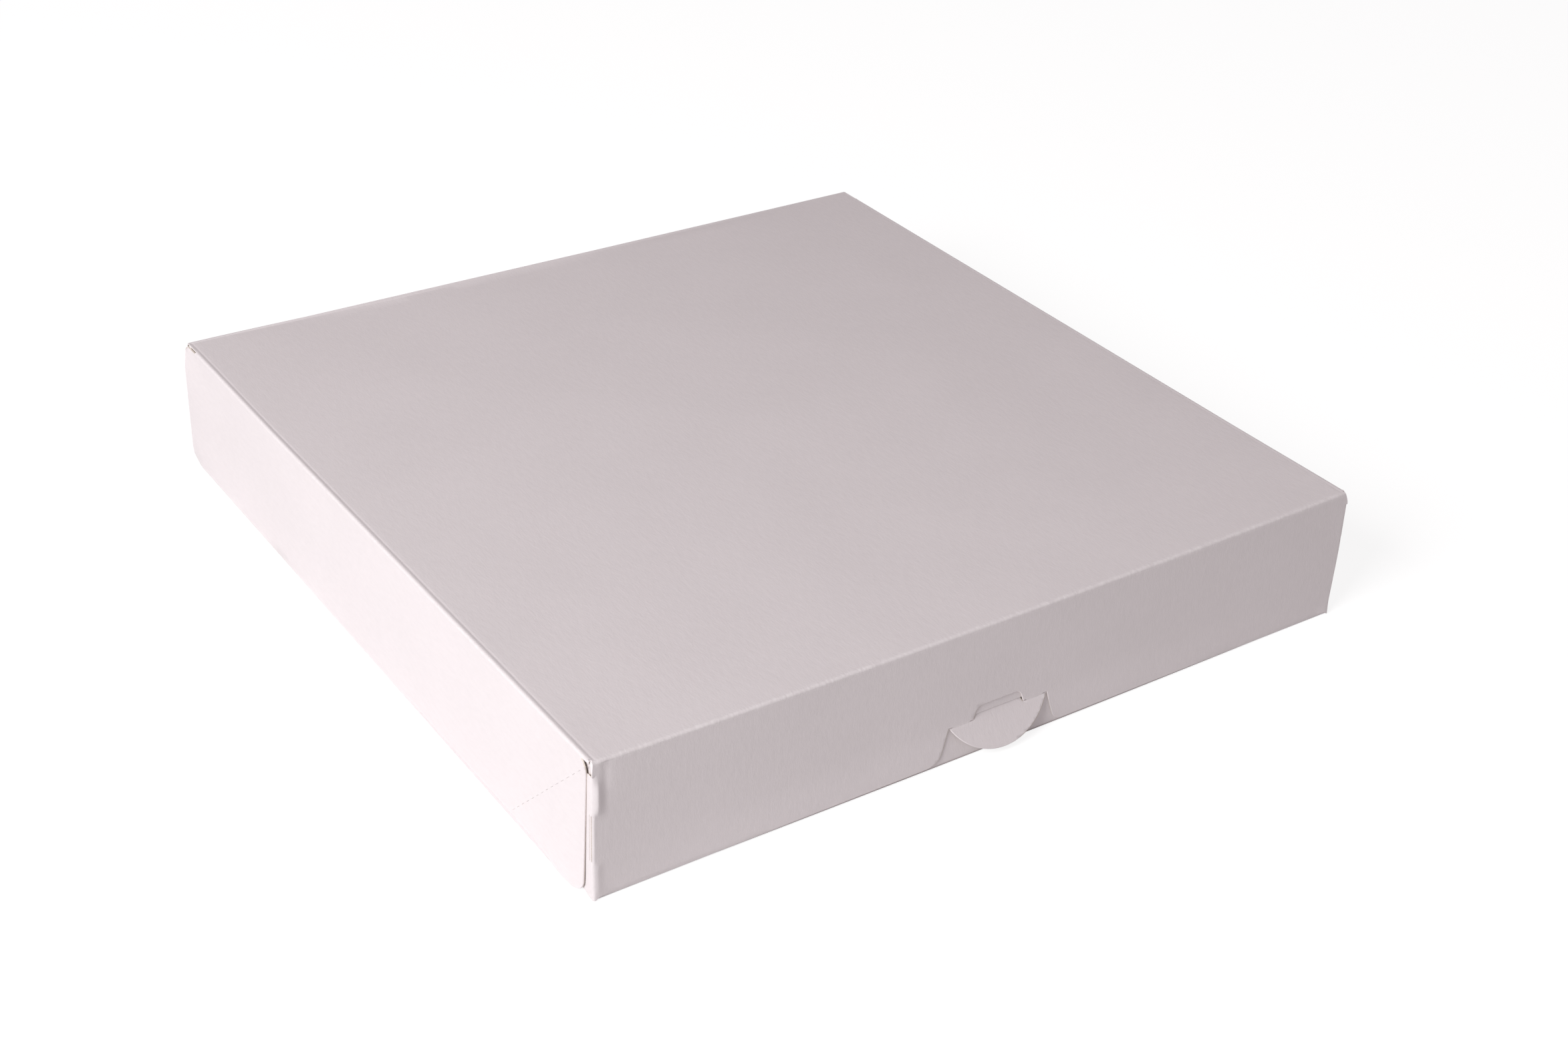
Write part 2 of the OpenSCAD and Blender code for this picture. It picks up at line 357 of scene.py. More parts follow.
def smooth(t):
    """Smooth step from 0 at 0 to 1 at 1"""
    t = np.clip(t, 0, 1)
    return t * t * (3 - 2 * t)


def noise_at(points, scale, seed):
    """Soft noise at each point, the same on each run"""
    shift = Vector((seed * 17.3, seed * 5.1, seed * 9.7))
    return np.array([noise.noise(Vector(p) / scale + shift) for p in points])


def lean_at(x, y, z):
    """Sideways push on the box's front foot"""
    front = np.clip((HALF_D - y) / (2 * HALF_D), 0, 1)
    lean = LEAN_LEFT + (LEAN_RIGHT - LEAN_LEFT) * smooth((x + HALF_W) / 240)
    return lean * (1 - np.clip(z / BOX_H, 0, 1)) * front


def bulge_at(x, y, z):
    """Outward bow of the front's foot, below the axis that the tab turns about"""
    across = np.clip(1 - (x / HALF_W) ** 2, 0, 1)
    return FRONT_BULGE * smooth((16 - z) / 16) * across * smooth((-y - 90) / 60)


def settle(v):
    """The box's lean, bowed foot, sagging front edge and sprung corners"""
    x, y, z = v.T
    up = np.clip(z / BOX_H, 0, 1.02)
    front = np.clip((HALF_D - y) / (2 * HALF_D), 0, 1)
    across = np.clip(1 - (x / HALF_W) ** 2, 0, 1)
    spring = smooth((51.5 - z) / 6) * (0.45 + 0.55 * smooth(z / 30))
    spring = spring * smooth((x - 125) / 24) * smooth((-y - 90) / 55)
    rear_left = smooth((-x - 60) / 90) * smooth((y - 60) / 90)
    out = v.copy()
    out[:, 0] += lean_at(x, y, z) + CORNER_SPRING * spring
    out[:, 1] -= bulge_at(x, y, z)
    sag = (CORNER_LIFT + EDGE_SAG) * across * front ** 3
    out[:, 2] += (CORNER_LIFT + REAR_LIFT * rear_left - sag) * up ** 2
    return out


# Meshes

def add_attribute(mesh, name, kind, values):
    """Store one value per vertex, for the materials"""
    layer = mesh.attributes.new(name, kind, "POINT")
    key = "vector" if kind == "FLOAT_VECTOR" else "value"
    layer.data.foreach_set(key, np.asarray(values, np.float32).ravel())


def border_normals(flat, border):
    """Outward direction, on the blank, of each edge of the border and at each point of it"""
    run = flat[border[:, 1]] - flat[border[:, 0]]
    out = np.stack([run[:, 1], -run[:, 0]], -1)
    out /= np.linalg.norm(out, axis=1, keepdims=True)
    total = np.zeros_like(flat)
    np.add.at(total, border[:, 0], out)
    np.add.at(total, border[:, 1], out)
    return out, total / np.maximum(np.linalg.norm(total, axis=1, keepdims=True), 1e-9)


def border_of(tris):
    """The directed edges that only one triangle has"""
    ways = np.concatenate([tris[:, [0, 1]], tris[:, [1, 2]], tris[:, [2, 0]]])
    keys = {tuple(e) for e in ways.tolist()}
    return np.array([(a, b) for a, b in sorted(keys) if (b, a) not in keys])


def skins_of(flat, back, fold, relief, tweak):
    """The board's outer face, inner face and middle, folded and in their rest place"""
    p, q = (flat - back).T
    raised = relief(p, q) if relief else 0.0
    outer = fold(p, q, HALF_T + raised)
    inner = fold(*(flat - back * CRUSH_BACK).T, np.full(len(flat), -HALF_T))
    middle = fold(*flat.T, np.zeros(len(flat)))
    if tweak:
        tweak(*flat.T, (outer, inner, middle))
    return outer, inner, middle


def link_piece(name, mesh):
    """Put a mesh with the board's three materials into the scene"""
    for material in (coated, uncoated, cut_edge):
        mesh.materials.append(material)
    piece = bpy.data.objects.new(name, mesh)
    bpy.context.scene.collection.objects.link(piece)
    return piece


def make_sheet(name, loops, patches, fold,
               relief=None, crease=None, tweak=None, crush=None, painted_shade=None):
    """A folded sheet of board with real thickness, from its flat outline and holes.

    fold places a point of the blank, relief raises the outer face, tweak moves the folded
    skins, crush is the share of the full crush at an edge, crease is wear, and the last is painted
    shade."""
    flat, tris, on_hole = triangulate(loops, patches)
    count = len(flat)
    border = border_of(tris)
    depth = np.where(on_hole, CRUSH_FINE, CRUSH)
    if crush:
        depth = depth * crush(*flat.T)
    edge_out, out = border_normals(flat, border)
    depth = depth * (1 + CRUSH_AWAY * np.clip(out[:, 0], 0, 1))
    outer, inner, middle = skins_of(flat, out * depth[:, None], fold, relief, tweak)
    # Two bands of faces close the rim, and meet on the board's middle
    rim = np.unique(border).tolist()
    place = {old: 2 * count + new for new, old in enumerate(rim)}
    faces = tris.tolist() + (tris[:, ::-1] + count).tolist()
    faces += [[b, a, place[a], place[b]] for a, b in border]
    faces += [[place[b], place[a], a + count, b + count] for a, b in border]
    verts = np.concatenate([outer, inner, middle[rim]])
    mesh = bpy.data.meshes.new(name)
    mesh.from_pydata((settle(verts) * MM).tolist(), [], faces)
    slots = np.repeat([0, 1, 0, 2], [len(tris), len(tris), len(border), len(border)])
    # Outer chamfers of edges that face right take the cut edge's brown: painted shade for the
    # shadowed side of each cut, over the cut core's own colour
    slots[2 * len(tris):][:len(border)][edge_out[:, 0] > AWAY] = 2
    mesh.polygons.foreach_set("material_index", slots.astype(np.int32))
    mesh.polygons.foreach_set("use_smooth", np.ones(len(faces), bool))
    mesh.set_sharp_from_angle(angle=SHARP_ANGLE)
    blank = np.concatenate([flat, flat, flat[rim]])
    blank = np.concatenate([blank, np.zeros((len(blank), 1))], axis=1)
    add_attribute(mesh, "blank", "FLOAT_VECTOR", blank * MM)
    # crease marks wear on the folds; the second key is painted shade
    for key, wear_and_shade in (("crease", crease), ("painted_shade", painted_shade)):
        found = wear_and_shade(blank[:, 0], blank[:, 1]) if wear_and_shade else np.zeros(len(blank))
        add_attribute(mesh, key, "FLOAT", found)
    mesh.update()
    return link_piece(name, mesh)


# Materials

def new_material(name, rough, specular):
    """A material and its shader"""
    material = bpy.data.materials.new(name)
    material.use_nodes = True
    shader = material.node_tree.nodes["Principled BSDF"]
    shader.inputs["Roughness"].default_value = rough
    shader.inputs["Specular IOR Level"].default_value = specular
    return material, shader


class Graph:
    """Short calls for the nodes that the materials are built from"""

    def __init__(self, material):
        self.tree = material.node_tree

    def node(self, kind, **settings):
        node = self.tree.nodes.new(kind)
        for key, value in settings.items():
            setattr(node, key, value)
        return node

    def link(self, source, target):
        self.tree.links.new(source, target)

    def attribute(self, name, output="Vector"):
        node = self.node("ShaderNodeAttribute", attribute_name=name)
        return node.outputs[output]

    def stretched(self, vector, scale):
        node = self.node("ShaderNodeVectorMath", operation="MULTIPLY")
        self.link(vector, node.inputs[0])
        node.inputs[1].default_value = scale
        return node.outputs[0]

    def noise(self, vector, scale, detail=3.0, rough=0.55):
        node = self.node("ShaderNodeTexNoise")
        self.link(vector, node.inputs["Vector"])
        node.inputs["Scale"].default_value = scale
        node.inputs["Detail"].default_value = detail
        node.inputs["Roughness"].default_value = rough
        return node.outputs["Fac"]

    def math(self, operation, a, b, clamp=False):
        node = self.node("ShaderNodeMath", operation=operation, use_clamp=clamp)
        for socket, value in zip(node.inputs, (a, b)):
            if isinstance(value, (int, float)):
                socket.default_value = value
            else:
                self.link(value, socket)
        return node.outputs[0]

    def remap(self, value, low, high, new_low=0.0, new_high=1.0):
        node = self.node("ShaderNodeMapRange")
        self.link(value, node.inputs["Value"])
        for key, number in (("From Min", low), ("From Max", high),
                            ("To Min", new_low), ("To Max", new_high)):
            node.inputs[key].default_value = number
        return node.outputs["Result"]

    def mix(self, factor, a, b):
        node = self.node("ShaderNodeMix", data_type="RGBA")
        self.link(factor, node.inputs["Factor"])
        # Sockets 6, 7 and 2 are the colour versions of A, B and Result
        for socket, value in ((node.inputs[6], a), (node.inputs[7], b)):
            if isinstance(value, tuple):
                socket.default_value = value
            else:
                self.link(value, socket)
        return node.outputs[2]

    def bump(self, height, strength, distance):
        node = self.node("ShaderNodeBump")
        self.link(height, node.inputs["Height"])
        node.inputs["Strength"].default_value = strength
        node.inputs["Distance"].default_value = distance
        return node.outputs["Normal"]


# Colours: the outer coating, painted shade for the gap under the lid's edge, the board's bare
# inside and its cut edges
COAT = (0.865, 0.809, 0.822, 1)
COAT_DARK = (0.83, 0.776, 0.788, 1)
COAT_CRACKED = (0.92, 0.87, 0.88, 1)
# Painted shade: a dark brown laid on the tray's sharp front fold, for the gap under the lid's lower
# edge
PAINTED_SHADE_BROWN = (0.36, 0.30, 0.29, 1)
INSIDE = (0.73, 0.65, 0.56, 1)
INSIDE_DARK = (0.655, 0.575, 0.485, 1)
EDGE = (0.80, 0.735, 0.675, 1)
EDGE_DARK = (0.62, 0.54, 0.47, 1)
WHITE = (1, 1, 1, 1)

# Light and floor, in metres and watts
KEY_PLACE = (-1.479, -0.473, 1.092)
KEY_TARGET = (0, 0, 0.02)
KEY_SIZE = 0.8
KEY_WATTS = 27.4
FILL_TINT = (1.0, 0.90, 0.915, 1)
FILL_LEVEL = 0.276
FLOOR_GREY = (0.8, 0.8, 0.8, 1)   # what lights the box from below
FLOOR_SEEN = (0.3, 0.3, 0.3, 1)   # what the camera sees of it, with the glow on top
FLOOR_GLOW = 0.84
FLOOR_HALF = 4.0
FLOOR_Z = -0.0001

# Camera, fitted to the box's visible corners, in millimetres
EYE = (-410.4767, -605.7175, 446.6123)
LOOK = (0.49570, 0.69865, -0.51592)
ROLL = math.radians(2.60083)
SENSOR = 36.0
LENS = 53.294


def make_coated():
    """White coated face: faint fibres along the blank, cracked coating on the folds, and painted
    shade on the tray's front fold
    """
    material, shader = new_material("coated_board", 0.55, 0.3)
    g = Graph(material)
    blank = g.attribute("blank")
    crease = g.attribute("crease", "Fac")
    streak = g.noise(g.stretched(blank, (1.0, 0.36, 1.0)), 640, 4.0)
    fleck = g.noise(g.stretched(blank, (1.0, 0.4, 1.0)), 1700, 3.0)
    cloud = g.noise(blank, 22, 4.0)
    tone = g.math("ADD", g.math("MULTIPLY", streak, 0.5), g.math("MULTIPLY", cloud, 0.5))
    tint = g.remap(tone, 0.36, 0.64)
    colour = g.mix(tint, COAT_DARK, COAT)
    crack = g.noise(g.stretched(blank, (1.0, 0.45, 1.0)), 1300, 5.0, 0.65)
    torn = g.math("MULTIPLY", crease, g.remap(crack, 0.4, 0.62), True)
    colour = g.mix(torn, colour, COAT_CRACKED)
    # Painted shade: the tray's front fold darkens toward brown, for the gap under the lid's lower
    # edge
    colour = g.mix(g.attribute("painted_shade", "Fac"), colour, PAINTED_SHADE_BROWN)
    g.link(colour, shader.inputs["Base Color"])
    fibres = g.math("ADD", g.math("MULTIPLY", streak, 0.6), g.math("MULTIPLY", fleck, 0.4))
    relief = g.math("ADD", fibres, g.math("MULTIPLY", torn, 0.3))
    g.link(g.bump(relief, 0.5, 0.0002), shader.inputs["Normal"])
    return material


def make_uncoated():
    """Bare inside face of the board, with short fibres"""
    material, shader = new_material("bare_board", 0.85, 0.2)
    g = Graph(material)
    blank = g.attribute("blank")
    fibre = g.noise(g.stretched(blank, (1.0, 0.25, 1.0)), 1300, 5.0, 0.65)
    cloud = g.noise(blank, 60, 4.0)
    tone = g.math("ADD", g.math("MULTIPLY", fibre, 0.6), g.math("MULTIPLY", cloud, 0.4))
    g.link(g.mix(g.remap(tone, 0.35, 0.65), INSIDE_DARK, INSIDE), shader.inputs["Base Color"])
    g.link(g.bump(fibre, 0.5, 0.00015), shader.inputs["Normal"])
    return material


def make_cut_edge():
    """Cut edge of the board, where its bare core shows between its faces"""
    material, shader = new_material("cut_edge", 0.9, 0.15)
    g = Graph(material)
    place = g.node("ShaderNodeTexCoord").outputs["Object"]
    fibre = g.noise(place, 2600, 4.0, 0.7)
    g.link(g.mix(g.remap(fibre, 0.3, 0.6), EDGE_DARK, EDGE), shader.inputs["Base Color"])
    g.link(g.bump(fibre, 0.5, 0.0001), shader.inputs["Normal"])
    return material


def make_floor():
    """Pale floor that the camera sees as white, and that keeps a soft shadow"""
    material, shader = new_material("floor", 0.9, 0.0)
    shader.inputs["Base Color"].default_value = FLOOR_GREY
    g = Graph(material)
    seen = g.node("ShaderNodeLightPath").outputs
    ray = g.math("MAXIMUM", seen["Is Camera Ray"], seen["Is Glossy Ray"])
    ray = g.math("MAXIMUM", ray, seen["Is Transmission Ray"])
    thin = g.node("ShaderNodeBsdfDiffuse")
    thin.inputs["Color"].default_value = FLOOR_SEEN
    glow = g.node("ShaderNodeEmission")
    glow.inputs["Color"].default_value = WHITE
    glow.inputs["Strength"].default_value = FLOOR_GLOW
    both = g.node("ShaderNodeAddShader")
    g.link(thin.outputs[0], both.inputs[0])
    g.link(glow.outputs[0], both.inputs[1])
    choose = g.node("ShaderNodeMixShader")
    g.link(ray, choose.inputs["Fac"])
    g.link(shader.outputs[0], choose.inputs[1])
    g.link(both.outputs[0], choose.inputs[2])
    g.link(choose.outputs[0], material.node_tree.nodes["Material Output"].inputs["Surface"])
    return material


coated = make_coated()
uncoated = make_uncoated()
cut_edge = make_cut_edge()


# Camera, lamp, world and floor

def make_camera():
    """Camera at the photograph's viewing angle, fitted to the box's corners"""
    look = Vector(LOOK).normalized()
    level = look.cross(Vector((0, 0, 1))).normalized()
    above = level.cross(look)
    right = level * math.cos(ROLL) + above * math.sin(ROLL)
    up = above * math.cos(ROLL) - level * math.sin(ROLL)
    data = bpy.data.cameras.new("camera")
    data.sensor_fit = "HORIZONTAL"
    data.sensor_width = SENSOR
    data.lens = LENS
    data.clip_start = 0.01
    camera = bpy.data.objects.new("camera", data)
    turn = Matrix((right, up, -look)).transposed().to_4x4()
    camera.matrix_world = Matrix.Translation(Vector(EYE) * MM) @ turn
    bpy.context.scene.collection.objects.link(camera)
    bpy.context.scene.camera = camera


def make_lamp(name, place, target, size, watts):
    """A square soft lamp that looks at the target"""
    data = bpy.data.lights.new(name, "AREA")
    data.shape = "SQUARE"
    data.size = size
    data.energy = watts
    lamp = bpy.data.objects.new(name, data)
    lamp.location = place
    lamp.rotation_euler = (Vector(target) - Vector(place)).to_track_quat("-Z", "Y").to_euler()
    bpy.context.scene.collection.objects.link(lamp)


def make_world():
    """Soft fill light, behind which the camera sees white"""
    world = bpy.data.worlds.new("world")
    bpy.context.scene.world = world
    world.use_nodes = True
    nodes, links = world.node_tree.nodes, world.node_tree.links
    fill = nodes["Background"]
    fill.inputs["Color"].default_value = FILL_TINT
    fill.inputs["Strength"].default_value = FILL_LEVEL
    white = nodes.new("ShaderNodeBackground")
    white.inputs["Color"].default_value = WHITE
    white.inputs["Strength"].default_value = 1.0
    seen = nodes.new("ShaderNodeLightPath")
    choose = nodes.new("ShaderNodeMixShader")
    links.new(seen.outputs["Is Camera Ray"], choose.inputs["Fac"])
    links.new(fill.outputs[0], choose.inputs[1])
    links.new(white.outputs[0], choose.inputs[2])
    links.new(choose.outputs[0], nodes["World Output"].inputs["Surface"])


def make_floor_plane():
    """Floor just under the box"""
    signs = [(-1, -1), (1, -1), (1, 1), (-1, 1)]
    corners = [(sx * FLOOR_HALF, sy * FLOOR_HALF, FLOOR_Z) for sx, sy in signs]
    mesh = bpy.data.meshes.new("floor")
    mesh.from_pydata(corners, [], [(0, 1, 2, 3)])
    mesh.materials.append(make_floor())
    floor = bpy.data.objects.new("floor", mesh)
    bpy.context.scene.collection.objects.link(floor)


# Lid

def dash(y, z, sy, sz, place):
    """One dash of a perforation, centred on the side wall's point (y, z)"""
    p, q = place(y, z)
    down = (place(y, z + 1)[0] - p) * sz
    along = np.array([down, sy]) / math.sqrt(2)
    across = np.array([-along[1], along[0]])
    centre = np.array([p, q])
    corners = [(-1, -1), (1, -1), (1, 1), (-1, 1)]
    return [tuple(centre + along * a * DASH_LEN / 2 + across * b * DASH_W / 2) for a, b in corners]


def dashes(y, z, sy, sz, height, place):
    """A perforation that runs up or down at 45 degrees from a corner (y, z)"""
    count = math.floor((height * math.sqrt(2) - DASH_LEN) / DASH_PITCH)
    start = (height * math.sqrt(2) - (count - 1) * DASH_PITCH) / 2
    steps = [(start + i * DASH_PITCH) / math.sqrt(2) for i in range(count)]
    return [dash(y + sy * s, z + sz * s, sy, sz, place) for s in steps]


def lock_cut_path(lean, foot_r):
    """Half of the cut round the lock, from the top middle of the notch to the foot"""
    r = TONGUE_R + TAB_GAP
    cz = TONGUE_H + TAB_GAP - r
    cx = TONGUE_HALF + TAB_GAP - cz * math.tan(TONGUE_LEAN) - r / math.cos(TONGUE_LEAN)
    notch = arc(cx, LOCK_Z + cz, r, 90, math.degrees(TONGUE_LEAN))
    side = TAB_HALF + TAB_GAP
    foot_x = side + (LOCK_Z - RIM_LIFT) * math.tan(lean)
    fx = foot_x - foot_r * math.tan(lean) + foot_r / math.cos(lean)
    foot = arc(fx, RIM_LIFT + foot_r, foot_r, 180 + math.degrees(lean), 270)
    shoulder = [
        (TONGUE_HALF + 0.05, SHOULDER_Z), (TAB_HINGE[0] - 0.2, SHOULDER_Z),
        (TAB_HINGE[0], HINGE_Z), (TAB_HINGE[1], HINGE_Z),
        (TAB_HINGE[1] + 0.2, SHOULDER_Z), (side, SHOULDER_Z), (side, LOCK_Z),
    ]
    return notch + shoulder + foot


def lid_outline():
    """Outline of the lid's blank, with the cut round the lock in its front edge"""
    left_cut, right_cut = [[lid_front(x, z) for x, z in lock_cut_path(*leg)]
                           for leg in (CUT_LEFT, CUT_RIGHT)]
    diagonal = -HALF_D + BOX_H - DASH_MARGIN
    end_y = -HALF_D + GLUE_TAB_W
    # Glue tab, from the foot of the corner fold round to its top
    glue = [
        lid_glue(-LID_FOLD, RIM_LIFT), lid_glue(end_y, RIM_LIFT + GLUE_TAB_RISE),
        lid_glue(end_y, diagonal - end_y), lid_glue(diagonal - CORNER_TOP, CORNER_TOP),
        (LID_CORNER + ARC, lid_front(0, CORNER_TOP)[1]),
    ]
    # Small step beside the torn hole at the front corner
    ear = [
        (LID_CORNER + 0.35, lid_front(0, CORNER_TOP)[1]),
        (LID_CORNER + 0.35, lid_front(0, CORNER_TOP + 0.15)[1]),
        (LID_PANEL_X, lid_front(0, CORNER_TOP + 0.15)[1]),
        (LID_PANEL_X, -148.95), (149.15, -148.95),
    ]
    # Front edge of the side flap, which curves in towards its torn top
    flap = [
        (149.15, -148.75), (150.3, -148.7), lid_side(-145.0, 48.8), lid_side(-145.8, 48.3),
        lid_side(-146.5, 47.3), lid_side(-147.0, 46.0), lid_side(-147.35, 44.2),
        lid_side(-147.2, 43.0),
    ]
    foot_z = RIM_LIFT + FLAP_R
    low = arc(FLAP_FOOT_Y + FLAP_R, foot_z, FLAP_R, 180, 270)
    rear = arc(FLAP_REAR - FLAP_R, foot_z, FLAP_R, 270, 360)
    low, rear = [[lid_side(y, z) for y, z in path] for path in (low, rear)]
    # Rear edge of the flap, and the cut along its fold
    free = [
        lid_side(FLAP_REAR, 47.9), lid_side(FLAP_REAR - 1.6, 49.45), (149.81, RELIEF_Y),
        (149.63, RELIEF_Y - 0.2), (149.45, RELIEF_Y), (149.45, 148.2), (149.1, LID_REAR),
    ]
    right = glue + ear + flap + low + rear + free
    return right_cut + right + mirrored(right) + mirrored(left_cut)


def lid_patches():
    """Bands of the lid's blank: no two share a row, so no thin triangle cuts across a fold"""
    low = LID_FOLD + ARC
    fold = spaced((147.3, LID_FOLD, 0.3), (LID_FOLD, low, ARC / 8), (low, 151.7, 0.35))
    fold_q = spaced((-148.7, -145, 0.6), (-145, 139, 2), (139, 148.2, 0.9))
    bead_q = -spaced((146.9, LID_FOLD, 0.37), (LID_FOLD, low, ARC / 8), (low, 152.2, 0.37))
    bead_p = spaced((0, 146, 1.2), (146, 149.3, 0.33))
    cheek = spaced((143, 147.5, 0.7), (147.5, LID_CORNER, 0.23),
                   (LID_CORNER, LID_CORNER + ARC, ARC / 8), (LID_CORNER + ARC, 151, 0.4))
    wall_q = -spaced((153.5, 184, 2.2), (184, 198.7, 1.2))
    return [
        (both_ways(spaced((0, 145.5, 5))), spaced((-145, 147.5, 5))),
        (fold, fold_q), (-fold, fold_q),
        (spaced((154, 198.7, 4)), spaced((-146, 149, 5))),
        (-spaced((154, 198.7, 4)), spaced((-146, 149, 5))),
        (both_ways(bead_p), bead_q),
        (both_ways(spaced((0, 26, 1.6), (26, 141, 4))), wall_q),
        (cheek, wall_q), (-cheek, wall_q),
        (spaced((153, 170.6, 4)), wall_q), (-spaced((153, 170.6, 4)), wall_q),
    ]


def from_folds(p, q):
    """Distance on the blank to the middle of the lid's side, front and corner folds"""
    mid = LID_FOLD + ARC / 2
    side = np.where(q > -149.0, np.abs(np.abs(p) - mid), FAR)
    front = np.where(np.abs(p) < 149.8, np.abs(q + mid), FAR)
    from_corner = np.abs(np.abs(p) - LID_CORNER - ARC / 2)
    corner = np.where((q < -153) & (np.abs(p) > 140), from_corner, FAR)
    return side, front, corner


def lid_relief(p, q):
    """Bead along the folds, with a groove beside it"""
    side, front, corner = from_folds(p, q)
    near = np.minimum(side, front)
    spots = np.stack([p, q, np.zeros(len(p))], -1)
    rough = noise_at(spots * (1, 0.6, 1), 2.4, 1)
    bead = 0.10 * np.exp(-(near / 0.9) ** 2)
    groove = -0.1 * np.exp(-((side - 1.5) / 0.35) ** 2) * (np.abs(p) < 149)
    bead, groove = (part * np.where(p > 60, 0.3, 1) for part in (bead, groove))
    crumple = 0.08 * rough * np.exp(-(front / 1.0) ** 2)
    return bead + groove + crumple


def on_tab_hinge(p, q):
    """The two short stretches on which the tab still hangs in the front panel"""
    near = np.abs(q - lid_front(0, LOCK_Z)[1]) < 0.15
    return near & (np.abs(p) > TAB_HINGE[0]) & (np.abs(p) < TAB_HINGE[1])


def lid_crease(p, q):
    side, front, corner = from_folds(p, q)
    return np.maximum.reduce([
        0.8 * on_tab_hinge(p, q),
        0.6 * np.exp(-(side / 0.8) ** 2) * (p < 0), np.exp(-(front / 1.3) ** 4),
        0.3 * np.exp(-(corner / 0.8) ** 2)
    ])


def flap_push(left, y, z):
    """How far a side flap stands out: its foot, its front corner and its free rear edge"""
    down = 1 - np.clip(z / BOX_H, 0, 1)
    foot = 0.28 + 0.32 * np.exp(-((y + 12) / 38) ** 2) - 0.2 * smooth((y - 70) / 50)
    corner = np.where(left, 1.5, 0.3) * np.exp(-((y + 135) / 11) ** 2) * smooth((y + 147.5) / 8)
    held = smooth((z - 32) / 17) * (1 - smooth((y - RELIEF_Y) / 7))
    rear = (1.5 - 0.9 * smooth((z - 41) / 6)) * smooth((y - 115) / 32) * smooth(z / 8)
    return (foot + corner) * down ** 1.3 + rear * (1 - held)


def corner_press(left, edge, z):
    """How far the front panel is pushed in beside its corner folds: less than 0 is outwards"""
    high = smooth((z - 30.5) / 3) * smooth((45.5 - z) / 6)
    low = 0.3 * smooth((14.8 - z) / 2.5) * smooth(z / 5)
    cheek = smooth((149.4 - edge) / 1.6) * np.exp(-(np.maximum(147.8 - edge, 0) / 1.3) ** 2)
    cheek = np.where(left, 0.8, 0.05) * cheek * (high + low)
    hollow = 0.25 * np.exp(-((edge - 144.9) / 1.3) ** 2) * smooth((z - 28) / 8) * left
    flare = 0.3 * smooth((edge - 143) / 5) * smooth((6 - z) / 6)
    return hollow - cheek - flare


def lid_tweak(p, q, skins):
    """Waves of the lid's panels, its lifting flaps and the cheeks of its corner folds"""
    spots = np.stack([p, q, np.zeros(len(p))], -1)
    flap = (np.abs(p) > LID_FOLD + ARC) & (q > -149)
    panel = q < -LID_FOLD - ARC
    wave = noise_at(spots * (0.25, 1, 1), 26, 2)
    ripple = noise_at(spots, 45, 3)
    bow = noise_at(spots, 110, 4)
    rim = np.minimum(LID_FOLD - np.abs(p), LID_FOLD + q)
    for skin in skins:
        x, y, z = skin.T.copy()
        down = 1 - np.clip(z / BOX_H, 0, 1)
        edge = np.abs(x)
        # Side flaps stand out, and the left one doesn't lean with the box
        push = np.sign(p) * (flap_push(p < 0, y, z) + 0.06 * wave * down)
        push -= np.where(p < 0, lean_at(x, y, z), 0)
        skin[:, 0] += np.where(flap, push, 0)
        # The front panel ripples away from the lock, and is pressed in at its corners
        clear = smooth((edge - 24) / 30)
        skin[:, 1] += np.where(panel, 0.25 * ripple * down ** 0.5 * clear, 0)
        skin[:, 1] += np.where(panel & (np.abs(p) < 150), corner_press(p < 0, edge, z), 0)
        # Its foot rises but for the corners, and the top panel bows
        middle = smooth((HALF_W - 0.8 - edge) / 2.5)
        foot = smooth((9 - z) / 9)
        skin[:, 2] += np.where(panel, foot * (FOOT_RISE * middle - FOOT_DROP * (1 - middle)), 0)
        skin[:, 2] += np.where(rim > 0, 0.35 * bow * smooth(rim / 60), 0)


def lid_crush(p, q):
    """Share of the full crush at the lid's edges: none where its sheet goes on as the crease"""
    p = np.abs(p)
    flap = (q > -149) & (p > 152)
    relief_cut = (q > RELIEF_Y - 0.5) & (p > 149.3) & (p < 149.95)
    ear = (q < -LID_FOLD - ARC) & (q > -155) & (p > LID_CORNER) & (p < 150)
    share = np.ones(len(p))
    share[flap | relief_cut | ear] = 0.3
    share[on_tab_hinge(p, q)] = 0.25
    share[(q > LID_REAR - 0.01) & (p < 149.2)] = 0
    return share


def slot_hole(centre):
    """Upright slot beside a corner fold of the lid"""
    low, high = lid_front(0, SLOT_LOW)[1], lid_front(0, SLOT_HIGH)[1]
    near, far = centre - SLOT_W / 2, centre + SLOT_W / 2
    return [(near, low), (far, low), (far, high), (near, high)]


def make_lid():
    holes = dashes(-HALF_D, BOX_H, 1, -1, BOX_H, lid_side)
    holes += [slot_hole(LID_CORNER + offset) for offset in SLOT_OFFSETS]
    loops = [lid_outline()] + holes + [mirrored(hole) for hole in holes]
    lid = make_sheet("lid_sheet", loops, lid_patches(), fold_lid,
                     lid_relief, lid_crease, lid_tweak, lid_crush)
    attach(lid, "lid")
    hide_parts("lid")


# Tray

